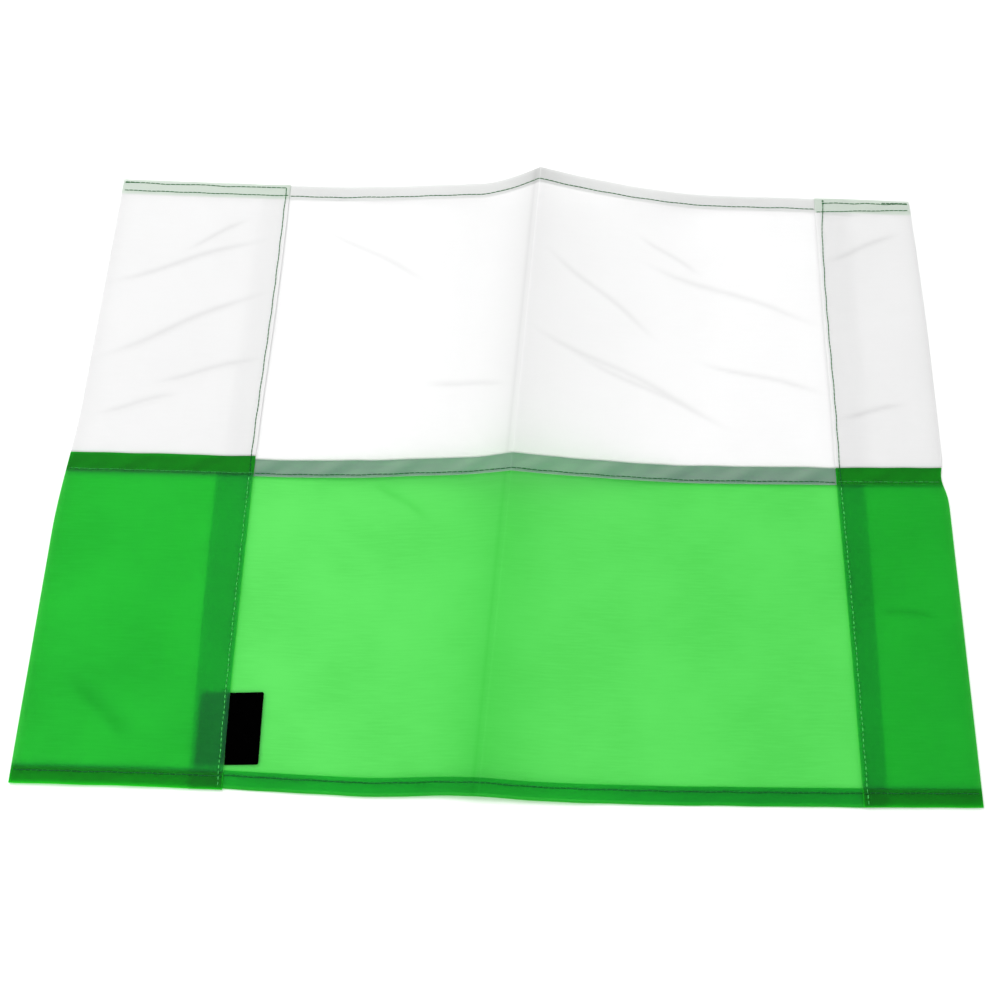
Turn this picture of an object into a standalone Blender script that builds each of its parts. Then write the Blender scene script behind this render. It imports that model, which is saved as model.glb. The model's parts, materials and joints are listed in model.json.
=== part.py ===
"""Corner flag cloth: a white and a green nylon panel joined by a felled seam across the middle.

Each side edge is folded over to the front and stitched down as a pole sleeve, wide on the left and
narrow on the right, closed at the top and open at the bottom. The cloth lies flat on its back, apart
from the packing crease down its middle, which stands up as a ridge. A woven label is caught under the
stitched edge of the wide sleeve.

Metres, +Z up. +X runs across the flag to the narrow sleeve, +Y towards the white edge. The origin is on
the surface that the flag lies on, under the middle of its outline.
"""

import math

import bmesh
import bpy

MM = 0.001

# Outline
FLAG_WIDTH = 450.0 * MM
FLAG_HEIGHT = 350.0 * MM
WIDE_SLEEVE = 98.0 * MM
NARROW_SLEEVE = 55.0 * MM
WIDE_ALLOWANCE = 16.0 * MM
NARROW_ALLOWANCE = 15.0 * MM

# Seam and hems
SEAM_TOP = 1.4 * MM
SEAM_STRIP = 10.0 * MM
SEAM_ROW_DROP = 8.4 * MM
TOP_HEM = 9.5 * MM
TOP_ROW_INSET = 7.5 * MM
BOTTOM_HEM = 9.0 * MM
BOTTOM_ROW_INSET = 6.5 * MM
CLOSING_ROW_INSET = 2.0 * MM
SLEEVE_ROW_INSET = 2.2 * MM

# Packing crease: its line, how steeply its two flanks fall, and the flat cloth left beside each sleeve
CREASE_X_TOP = 15.3 * MM
CREASE_X_BOTTOM = -7.9 * MM
CREASE_HEIGHT_TOP = 21.7 * MM
CREASE_HEIGHT_BOTTOM = 3.0 * MM
LEFT_POWER = 3.5
RIGHT_POWER = 1.6
FLAT_BY_WIDE_SLEEVE = 10.0 * MM
FLAT_BY_NARROW_SLEEVE = 55.0 * MM

# Label
LABEL_HEIGHT = 35.0 * MM
LABEL_OUT = 16.0 * MM
LABEL_TAIL = 15.0 * MM
LABEL_ABOVE_HEM = 11.6 * MM
LABEL_HINGE_OUT = 2.5 * MM

# Cloth and thread
CLOTH = 0.4 * MM
GAP = 0.3 * MM
THREAD_RADIUS = 0.2 * MM
FOLD_STUB = 1.5 * MM
ROW_END_INSET = 1.0 * MM

# Places that follow from the sizes
HALF_WIDTH = FLAG_WIDTH / 2
HALF_HEIGHT = FLAG_HEIGHT / 2
PITCH = CLOTH + GAP
PANEL_LEVEL, STRIP_LEVEL, ALLOWANCE_LEVEL, FRONT_LEVEL, SLEEVE_STRIP_LEVEL = (n * PITCH for n in range(5))
SEAM_BOTTOM = SEAM_TOP - SEAM_STRIP
PANEL_SPLIT = (SEAM_TOP + SEAM_BOTTOM) / 2
FOLD_RADIUS = FRONT_LEVEL / 2
EDGE_RADIUS = PITCH / 2
FOLD_INSET = FOLD_RADIUS + CLOTH / 2
PANEL_INSET = FOLD_INSET + FOLD_STUB + GAP
ROW_CLEAR = GAP + THREAD_RADIUS

# Fineness of the meshes
COLUMNS = 18
PANEL_ROWS = 6
STRIP_ROWS = 1
ARC_STEPS = 6
THREAD_POINTS = 18

LEFT, RIGHT = -1, 1
SIDE_NAME = {LEFT: "left", RIGHT: "right"}
SLEEVE_NAME = {LEFT: "wide_sleeve", RIGHT: "narrow_sleeve"}
SLEEVE_WIDTH = {LEFT: WIDE_SLEEVE, RIGHT: NARROW_SLEEVE}
ALLOWANCE = {LEFT: WIDE_ALLOWANCE, RIGHT: NARROW_ALLOWANCE}
FLANK_POWER = {LEFT: LEFT_POWER, RIGHT: RIGHT_POWER}
FLAT_BY_SLEEVE = {LEFT: FLAT_BY_WIDE_SLEEVE, RIGHT: FLAT_BY_NARROW_SLEEVE}


def clear_scene():
    """Removes every object, so that the script builds into an empty scene."""
    for item in list(bpy.data.objects):
        bpy.data.objects.remove(item, do_unlink=True)


def make_collection(name):
    """Makes the collection that holds the flag's parts."""
    collection = bpy.data.collections.new(name)
    bpy.context.scene.collection.children.link(collection)
    return collection


def make_material(name, colour, roughness):
    """Makes a Principled material without metal."""
    material = bpy.data.materials.new(name)
    material.use_nodes = True
    shader = material.node_tree.nodes["Principled BSDF"]
    shader.inputs["Base Color"].default_value = (*colour, 1.0)
    shader.inputs["Roughness"].default_value = roughness
    shader.inputs["Metallic"].default_value = 0.0
    return material


def blend(start, end, share):
    """Gives the value a share of the way from start to end."""
    return start + (end - start) * share


def crease_x(y):
    """Gives where the crease lies across the flag, at a height on the cloth."""
    return blend(CREASE_X_BOTTOM, CREASE_X_TOP, (y + HALF_HEIGHT) / FLAG_HEIGHT)


def crease_height(y):
    """Gives how high the crease stands, at a height on the cloth."""
    return blend(CREASE_HEIGHT_BOTTOM, CREASE_HEIGHT_TOP, (y + HALF_HEIGHT) / FLAG_HEIGHT)


def ridge(x, y):
    """Gives how high the back of the cloth stands over the surface it lies on."""
    away = x - crease_x(y)
    side = RIGHT if away > 0 else LEFT
    flat_from = side * (HALF_WIDTH - SLEEVE_WIDTH[side] - FLAT_BY_SLEEVE[side])
    reach = abs(flat_from - crease_x(y))
    return crease_height(y) * max(0.0, 1.0 - abs(away) / reach) ** FLANK_POWER[side]


def add_object(name, data, material, collection):
    """Puts mesh or curve data in the scene as a named part."""
    part = bpy.data.objects.new(name, data)
    part.data.materials.append(material)
    collection.objects.link(part)
    return part


def solidify(part, offset):
    """Gives an open surface the thickness of the cloth."""
    wall = part.modifiers.new("cloth_thickness", "SOLIDIFY")
    wall.thickness = CLOTH
    wall.offset = offset
    wall.use_even_offset = True


def add_sheet(name, near, far, low, high, level, rows, material, collection):
    """Lays a sheet over the ridge.

    near and far are functions that give the two side edges at a height on the cloth: near is the edge
    towards the crease, where the columns are closest together.
    """
    mesh = bpy.data.meshes.new(name)
    shape = bmesh.new()
    bmesh.ops.create_grid(shape, x_segments=COLUMNS, y_segments=rows, size=0.5)
    for vertex in shape.verts:
        y = blend(low, high, vertex.co.y + 0.5)
        share = (vertex.co.x + 0.5) ** 1.5
        x = blend(near(y), far(y), share)
        vertex.co = (x, y, level + ridge(x, y))
    shape.normal_update()
    if sum(face.normal.z for face in shape.faces) < 0:
        bmesh.ops.reverse_faces(shape, faces=shape.faces)
    shape.to_mesh(mesh)
    shape.free()
    part = add_object(name, mesh, material, collection)
    solidify(part, 1.0)
    return part


def add_half_sheet(name, side, low, high, level, rows, material, collection):
    """Lays a sheet from the crease to the outer fold of one side."""
    return add_sheet(
        name,
        lambda y: crease_x(y) + side * GAP / 2,
        lambda y: side * (HALF_WIDTH - PANEL_INSET),
        low, high, level, rows, material, collection)


def add_flat_strip(name, x_range, y_range, level, material, collection):
    """Lays a flat strip of cloth, as in a sleeve, where the flag lies flat."""
    return add_sheet(
        name, lambda y: x_range[0], lambda y: x_range[1],
        *y_range, level, STRIP_ROWS, material, collection)


def arc(inset, height, radius, start, end):
    """Gives points round an arc of a profile, from one angle to another."""
    return [
        (inset + radius * math.cos(blend(start, end, n / ARC_STEPS)),
         height + radius * math.sin(blend(start, end, n / ARC_STEPS)))
        for n in range(ARC_STEPS + 1)
    ]


def sleeve_profile(side):
    """Gives the sleeve's section as inset from the outer fold and height, at the middle of its cloth.

    It runs from the back wall round the outer fold, over the front wall to the stitched edge, and back
    under it as the turned allowance.
    """
    middle = CLOTH / 2
    edge = SLEEVE_WIDTH[side] - EDGE_RADIUS - middle
    outer = arc(FOLD_INSET, FOLD_RADIUS + middle, FOLD_RADIUS, 1.5 * math.pi, 0.5 * math.pi)
    inner = arc(edge, FRONT_LEVEL - EDGE_RADIUS + middle, EDGE_RADIUS, 0.5 * math.pi, -0.5 * math.pi)
    stub = (FOLD_INSET + FOLD_STUB, middle)
    allowance = (SLEEVE_WIDTH[side] - ALLOWANCE[side], ALLOWANCE_LEVEL + middle)
    return [stub, *outer, *inner, allowance]


def add_sleeve(name, side, low, high, material, collection):
    """Makes a sleeve wall as one folded sheet along a length of the side edge."""
    mesh = bpy.data.meshes.new(name)
    shape = bmesh.new()
    row = [shape.verts.new((side * (HALF_WIDTH - inset), low, z)) for inset, z in sleeve_profile(side)]
    edges = [shape.edges.new(pair) for pair in zip(row, row[1:])]
    grown = bmesh.ops.extrude_edge_only(shape, edges=edges)
    moved = [item for item in grown["geom"] if isinstance(item, bmesh.types.BMVert)]
    bmesh.ops.translate(shape, vec=(0.0, high - low, 0.0), verts=moved)
    bmesh.ops.recalc_face_normals(shape, faces=shape.faces)
    shape.to_mesh(mesh)
    shape.free()
    part = add_object(name, mesh, material, collection)
    solidify(part, 0.0)
    return part


def add_thread(name, points, material, collection):
    """Runs a stitched row of thread through points."""
    curve = bpy.data.curves.new(name, "CURVE")
    curve.dimensions = "3D"
    curve.bevel_depth = THREAD_RADIUS
    curve.bevel_resolution = 2
    curve.use_fill_caps = True
    spline = curve.splines.new("POLY")
    spline.points.add(len(points) - 1)
    for point, place in zip(spline.points, points):
        point.co = (*place, 1.0)
    return add_object(name, curve, material, collection)


def add_cross_row(name, side, y, material, collection):
    """Runs a row of thread across the flag, over its hem or seam, from the crease to the sleeve."""
    height = STRIP_LEVEL + CLOTH + ROW_CLEAR
    start = crease_x(y) + side * ROW_END_INSET
    end = side * (HALF_WIDTH - SLEEVE_WIDTH[side] - ROW_END_INSET)
    places = [blend(start, end, (n / THREAD_POINTS) ** 1.5) for n in range(THREAD_POINTS + 1)]
    points = [(x, y, ridge(x, y) + height) for x in places]
    return add_thread(name, points, material, collection)


def add_sleeve_row(name, side, material, collection):
    """Runs the sleeve's row of thread along its closed top and down its stitched edge."""
    flat = FRONT_LEVEL + CLOTH + ROW_CLEAR
    raised = SLEEVE_STRIP_LEVEL + CLOTH + ROW_CLEAR
    outer = side * (HALF_WIDTH - PANEL_INSET)
    inner = side * (HALF_WIDTH - SLEEVE_WIDTH[side] + SLEEVE_ROW_INSET)
    top = HALF_HEIGHT - CLOSING_ROW_INSET
    bottom = -HALF_HEIGHT + ROW_END_INSET
    corner = ROW_END_INSET
    points = [
        (outer, top, flat),
        (inner + side * corner, top, flat),
        (inner, top - corner, flat),
        (inner, SEAM_TOP + 3 * GAP, flat),
        (inner, SEAM_TOP + GAP, raised),
        (inner, SEAM_BOTTOM - GAP, raised),
        (inner, SEAM_BOTTOM - 3 * GAP, flat),
        (inner, bottom, flat),
    ]
    return add_thread(name, points, material, collection)


def build_half(side, materials, collection):
    """Builds the panels, strips and rows of thread on one side of the crease."""
    end = SIDE_NAME[side]
    white, green, thread = materials["white"], materials["green"], materials["thread"]
    top, bottom = HALF_HEIGHT, -HALF_HEIGHT
    add_half_sheet(f"white_panel_{end}", side, PANEL_SPLIT + GAP / 2, top, PANEL_LEVEL, PANEL_ROWS,
                   white, collection)
    add_half_sheet(f"green_panel_{end}", side, bottom, PANEL_SPLIT - GAP / 2, PANEL_LEVEL, PANEL_ROWS,
                   green, collection)
    add_half_sheet(f"seam_fell_{end}", side, SEAM_BOTTOM, SEAM_TOP, STRIP_LEVEL, STRIP_ROWS,
                   white, collection)
    add_half_sheet(f"top_hem_{end}", side, top - TOP_HEM, top, STRIP_LEVEL, STRIP_ROWS,
                   white, collection)
    add_half_sheet(f"bottom_hem_{end}", side, bottom, bottom + BOTTOM_HEM, STRIP_LEVEL, STRIP_ROWS,
                   green, collection)
    add_cross_row(f"top_hem_thread_{end}", side, top - TOP_ROW_INSET, thread, collection)
    add_cross_row(f"seam_thread_{end}", side, SEAM_TOP - SEAM_ROW_DROP, thread, collection)
    add_cross_row(f"bottom_hem_thread_{end}", side, bottom + BOTTOM_ROW_INSET, thread, collection)


def build_sleeve(side, materials, collection):
    """Builds one pole sleeve with the hems inside it, its seam strip and its row of thread."""
    name = SLEEVE_NAME[side]
    white, green, thread = materials["white"], materials["green"], materials["thread"]
    top, bottom = HALF_HEIGHT, -HALF_HEIGHT
    add_sleeve(f"{name}_white", side, PANEL_SPLIT + GAP / 2, top, white, collection)
    add_sleeve(f"{name}_green", side, bottom, PANEL_SPLIT - GAP / 2, green, collection)

    fold = side * (HALF_WIDTH - PANEL_INSET)
    allowance = side * (HALF_WIDTH - SLEEVE_WIDTH[side] + ALLOWANCE[side] + GAP)
    inside = (allowance, fold)
    add_flat_strip(f"{name}_top_hem", inside, (top - TOP_HEM, top), ALLOWANCE_LEVEL, white, collection)
    add_flat_strip(f"{name}_mouth_hem", inside, (bottom, bottom + BOTTOM_HEM), ALLOWANCE_LEVEL,
                   green, collection)

    edge = side * (HALF_WIDTH - SLEEVE_WIDTH[side] + EDGE_RADIUS)
    add_flat_strip(f"{name}_seam_fell", (edge, side * (HALF_WIDTH - FOLD_INSET)),
                   (SEAM_BOTTOM, SEAM_TOP), SLEEVE_STRIP_LEVEL, green, collection)
    add_sleeve_row(f"{name}_thread", side, thread, collection)


def build_label(materials, collection):
    """Builds the label: a tail caught under the wide sleeve's edge, and the flap that turns on it."""
    edge = -HALF_WIDTH + WIDE_SLEEVE
    hinge = edge + LABEL_HINGE_OUT
    low = -HALF_HEIGHT + LABEL_ABOVE_HEM
    rows = (low, low + LABEL_HEIGHT)
    cloth = materials["label"]
    add_flat_strip("label_tail", (edge - LABEL_TAIL, hinge - GAP / 2), rows, STRIP_LEVEL, cloth, collection)
    flap = add_flat_strip("label_flap", (hinge + GAP / 2, edge + LABEL_OUT), rows, STRIP_LEVEL,
                          cloth, collection)
    return flap


def main():
    """Builds the whole flag."""
    clear_scene()
    collection = make_collection("corner_flag_cloth")
    materials = {
        "white": make_material("white_nylon", (0.90, 0.90, 0.90), 0.55),
        "green": make_material("green_nylon", (0.12, 0.80, 0.13), 0.50),
        "thread": make_material("green_polyester_thread", (0.03, 0.35, 0.06), 0.45),
        "label": make_material("black_woven_label", (0.004, 0.004, 0.005), 0.60),
    }
    for side in (LEFT, RIGHT):
        build_half(side, materials, collection)
        build_sleeve(side, materials, collection)
    build_label(materials, collection)


main()
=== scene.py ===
"""Finished cloth, thread and label for the corner flag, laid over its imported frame.

The flag is two panels of nylon taffeta, white above and green below, joined by a flat-felled seam. Its
side edges are turned in and folded to the front as pole sleeves, stitched down along their inner edges
and sewn shut at the top. Each panel is modelled as the one strip of cloth it was cut as, hemmed first and
then folded, so every hem, seam and sleeve has its real number of layers and the light that comes through
them darkens layer by layer. Sizes come from the frame, in metres.
"""

import json
import logging
import math
from collections.abc import Callable
from dataclasses import dataclass
from enum import Enum
from functools import partial

import bpy
import numpy as np
from mathutils import Matrix, Vector


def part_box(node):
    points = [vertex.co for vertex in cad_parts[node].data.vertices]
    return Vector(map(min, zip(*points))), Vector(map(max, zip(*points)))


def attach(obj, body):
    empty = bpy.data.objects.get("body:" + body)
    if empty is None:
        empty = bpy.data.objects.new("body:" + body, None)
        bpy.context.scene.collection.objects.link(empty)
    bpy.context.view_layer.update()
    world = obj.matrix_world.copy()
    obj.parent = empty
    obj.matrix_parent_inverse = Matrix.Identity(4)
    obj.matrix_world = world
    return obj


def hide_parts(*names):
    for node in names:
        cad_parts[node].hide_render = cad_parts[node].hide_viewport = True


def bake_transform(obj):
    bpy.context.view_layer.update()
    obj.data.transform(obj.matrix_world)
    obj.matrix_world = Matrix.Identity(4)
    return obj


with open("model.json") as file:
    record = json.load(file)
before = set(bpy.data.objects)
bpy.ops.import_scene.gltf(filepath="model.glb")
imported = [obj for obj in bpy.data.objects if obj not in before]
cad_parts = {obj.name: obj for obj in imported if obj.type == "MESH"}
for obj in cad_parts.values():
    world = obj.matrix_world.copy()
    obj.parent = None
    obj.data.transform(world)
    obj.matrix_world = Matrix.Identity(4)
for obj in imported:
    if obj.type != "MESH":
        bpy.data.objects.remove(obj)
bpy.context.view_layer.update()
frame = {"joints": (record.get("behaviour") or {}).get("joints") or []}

MM = 0.001
SLEEVE_FOLD_POINTS = 9
HEM_FOLD_POINTS = 7
LOG = logging.getLogger("corner_flag")
AddNode = Callable[[str, dict, dict], bpy.types.Node]


class Side(Enum):
    """The two side edges of the flag, as the sign of x."""

    WIDE = -1
    NARROW = 1


class Panel(Enum):
    """The two panels of cloth."""

    WHITE = "white"
    GREEN = "green"


class Body(Enum):
    """The bodies of the frame."""

    LEFT = "left_half"
    RIGHT = "right_half"
    LABEL = "label"


# ---------------------------------------------------------------------------------------------------
# Small tools
# ---------------------------------------------------------------------------------------------------


def smooth(start: float, end: float, value: np.ndarray) -> np.ndarray:
    """Rises smoothly from 0 to 1.

    Args:
        start: where the rise begins.
        end: where the rise is complete.
        value: the values to look up.

    Returns:
        The share of the rise at each value.
    """
    share = np.clip((np.asarray(value, float) - start) / (end - start), 0.0, 1.0)
    return share * share * (3.0 - 2.0 * share)


def steps(start: float, end: float, spacing: float) -> np.ndarray:
    """Spaces points evenly along a straight run.

    Args:
        start: the first point.
        end: the last point.
        spacing: the widest gap between neighbours.

    Returns:
        The points, with both ends.
    """
    count = max(2, int(math.ceil(abs(end - start) / spacing - 1e-9)) + 1)
    return np.linspace(start, end, count)


def srgb(code: str) -> tuple[float, float, float, float]:
    """Turns an sRGB hex colour to linear.

    Args:
        code: the colour, such as "8dd789".

    Returns:
        Red, green, blue and full alpha.
    """
    values = [int(code[index:index + 2], 16) / 255.0 for index in (0, 2, 4)]
    linear = [v / 12.92 if v <= 0.04045 else ((v + 0.055) / 1.055) ** 2.4 for v in values]
    return (*linear, 1.0)


def add_node(tree: bpy.types.NodeTree, kind: str, settings: dict, links: dict) -> bpy.types.Node:
    """Adds a node with its settings and links.

    Args:
        tree: the material's node tree.
        kind: the node's type, without the prefix that all shader nodes share.
        settings: values by property name or by socket name or number.
        links: output sockets by the name or number of the input they feed.

    Returns:
        The node.
    """
    node = tree.nodes.new(f"ShaderNode{kind}")
    for key, value in settings.items():
        if isinstance(key, str) and hasattr(node, key):
            setattr(node, key, value)
        else:
            node.inputs[key].default_value = value
    for key, socket in links.items():
        tree.links.new(socket, node.inputs[key])
    return node


def tinted(add: AddNode, colour: bpy.types.NodeSocket, tones: dict[str, str]) -> bpy.types.NodeSocket:
    """Mixes further colours in, each by the attribute that it is named after.

    Args:
        add: adds a node to the material.
        colour: the colour so far.
        tones: sRGB hex colours by attribute.

    Returns:
        The mixed colour.
    """
    for attribute, code in tones.items():
        share = add("Attribute", {"attribute_name": attribute}, {})
        mixed = {"data_type": "RGBA", 7: srgb(code)}
        colour = add("Mix", mixed, {0: share.outputs["Fac"], 6: colour}).outputs[2]
    return colour


def band_scale(width: float) -> float:
    """Gives the scale at which a wave texture's bands have this width."""
    return 2 * math.pi / 20.0 / width


def new_material(name: str) -> tuple[bpy.types.Material, AddNode]:
    """Makes a material with no nodes.

    Args:
        name: the material's name.

    Returns:
        The material, and add_node for its own tree.
    """
    material = bpy.data.materials.new(name)
    material.use_nodes = True
    material.node_tree.nodes.clear()
    return material, partial(add_node, material.node_tree)


def deselect() -> None:
    """Leaves edit mode and deselects every object."""
    if bpy.context.object and bpy.context.object.mode != "OBJECT":
        bpy.ops.object.mode_set(mode="OBJECT")
    bpy.ops.object.select_all(action="DESELECT")


def select_only(pieces: list[bpy.types.Object]) -> None:
    """Selects these objects and makes the first active."""
    deselect()
    for piece in pieces:
        piece.select_set(True)
    bpy.context.view_layer.objects.active = pieces[0]


def join(pieces: list[bpy.types.Object], name: str) -> bpy.types.Object:
    """Joins objects into one mesh that sits at the origin.

    Args:
        pieces: the objects.
        name: the joined piece's name.

    Returns:
        The joined piece.
    """
    select_only(pieces)
    bpy.ops.object.join()
    piece = bpy.context.object
    piece.name = name
    piece.data.name = name
    deselect()
    return piece


def apply_modifiers(piece: bpy.types.Object) -> None:
    """Applies every modifier of a piece, in order."""
    select_only([piece])
    for modifier in list(piece.modifiers):
        bpy.ops.object.modifier_apply(modifier=modifier.name)
    deselect()


def grid_mesh(
    name: str, places: np.ndarray, cut: np.ndarray, marks: dict[str, np.ndarray]
) -> bpy.types.Object:
    """Makes a sheet from a grid of points, with its place on the cut cloth as a UV map in metres.

    Args:
        name: the piece's name.
        places: rows by columns by 3, the points.
        cut: rows by columns by 2, the same points on the flat cut.
        marks: attributes by name, each rows by columns.

    Returns:
        The sheet.
    """
    rows, columns = places.shape[:2]
    index = np.arange(rows * columns).reshape(rows, columns)
    quads = np.stack([index[:-1, :-1], index[1:, :-1], index[1:, 1:], index[:-1, 1:]], axis=-1)
    mesh = bpy.data.meshes.new(name)
    mesh.from_pydata(places.reshape(-1, 3).tolist(), [], quads.reshape(-1, 4).tolist())
    corners = np.empty(len(mesh.loops), dtype=np.int64)
    mesh.loops.foreach_get("vertex_index", corners)
    layer = mesh.uv_layers.new(name="cut")
    layer.data.foreach_set("uv", cut.reshape(-1, 2)[corners].astype(np.float32).ravel())
    for mark, values in marks.items():
        attribute = mesh.attributes.new(mark, "FLOAT", "POINT")
        attribute.data.foreach_set("value", values.astype(np.float32).ravel())
    piece = bpy.data.objects.new(name, mesh)
    bpy.context.scene.collection.objects.link(piece)
    select_only([piece])
    bpy.ops.object.shade_smooth()
    deselect()
    return piece


# ---------------------------------------------------------------------------------------------------
# Sizes and the way the flag lies
# ---------------------------------------------------------------------------------------------------


@dataclass(frozen=True)
class FlagSizes:
    """Where the flag's edges, rows and crease are, read from the frame."""

    left: float
    right: float
    bottom: float
    top: float
    wide_edge: float
    narrow_edge: float
    seam_top: float
    seam_bottom: float
    top_hem: float
    bottom_hem: float
    top_row: float
    seam_row: float
    bottom_row: float
    closing_row: float
    sleeve_row_inset: float
    crease_at: float
    crease_lean: float
    crease_pivot: float

    @classmethod
    def from_frame(cls) -> "FlagSizes":
        """Reads the sizes from the boxes of the CAD nodes and from the crease joint."""
        wide_low, wide_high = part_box("wide_sleeve_white")
        narrow_low, narrow_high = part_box("narrow_sleeve_white")
        seam_low, seam_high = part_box("seam_fell_left")
        thread_low, thread_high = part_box("narrow_sleeve_thread")
        joint = next(item for item in frame["joints"] if item["name"] == "crease_fold")
        top_thread_low, top_thread_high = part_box("top_hem_thread_left")
        half_thread = (top_thread_high.y - top_thread_low.y) / 2
        return cls(
            left=wide_low.x,
            right=narrow_high.x,
            bottom=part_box("wide_sleeve_green")[0].y,
            top=wide_high.y,
            wide_edge=wide_high.x,
            narrow_edge=narrow_low.x,
            seam_top=seam_high.y,
            seam_bottom=seam_low.y,
            top_hem=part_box("top_hem_left")[0].y,
            bottom_hem=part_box("bottom_hem_left")[1].y,
            top_row=top_thread_low.y + half_thread,
            seam_row=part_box("seam_thread_left")[0].y + half_thread,
            bottom_row=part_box("bottom_hem_thread_left")[0].y + half_thread,
            closing_row=thread_high.y - half_thread,
            sleeve_row_inset=thread_low.x + half_thread - narrow_low.x,
            crease_at=joint["pos_m"][0],
            crease_lean=joint["axis"][0] / joint["axis"][1],
            crease_pivot=joint["pos_m"][2],
        )

    def edge(self, side: Side) -> float:
        """Gives how far a sleeve's stitched inner edge is from the middle line."""
        return abs(self.wide_edge if side is Side.WIDE else self.narrow_edge)

    def outer(self, side: Side) -> float:
        """Gives how far a sleeve's folded outer edge is from the middle line."""
        return abs(self.left if side is Side.WIDE else self.right)

    def crease_x(self, y: np.ndarray) -> np.ndarray:
        """Gives where the crease runs at a height on the flag."""
        return self.crease_at + self.crease_lean * np.asarray(y, float)


@dataclass(frozen=True)
class Wrinkle:
    """A soft crease that packing left in the cloth, from one point of the flag to another."""

    start: tuple[float, float]
    end: tuple[float, float]
    height: float
    width: float

    def rise(self, x: np.ndarray, y: np.ndarray) -> np.ndarray:
        """Gives how much the wrinkle lifts the cloth.

        Args:
            x: places across the flag.
            y: places up the flag.

        Returns:
            The lift at each place: steep on the lower side and gentle on the upper.
        """
        run = np.array(self.end) - np.array(self.start)
        length = float(np.hypot(*run))
        along = ((x - self.start[0]) * run[0] + (y - self.start[1]) * run[1]) / length ** 2
        across = (-(x - self.start[0]) * run[1] + (y - self.start[1]) * run[0]) / length
        across = across + 0.012 * length * np.sin(2.4 * math.pi * along)
        wide = np.where(across * np.sign(run[0]) > 0, 1.5 * self.width, 0.8 * self.width)
        ends = smooth(-0.05, 0.3, along) * (1.0 - smooth(0.7, 1.05, along))
        return self.height * ends * np.exp(-((across / wide) ** 2))


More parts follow.
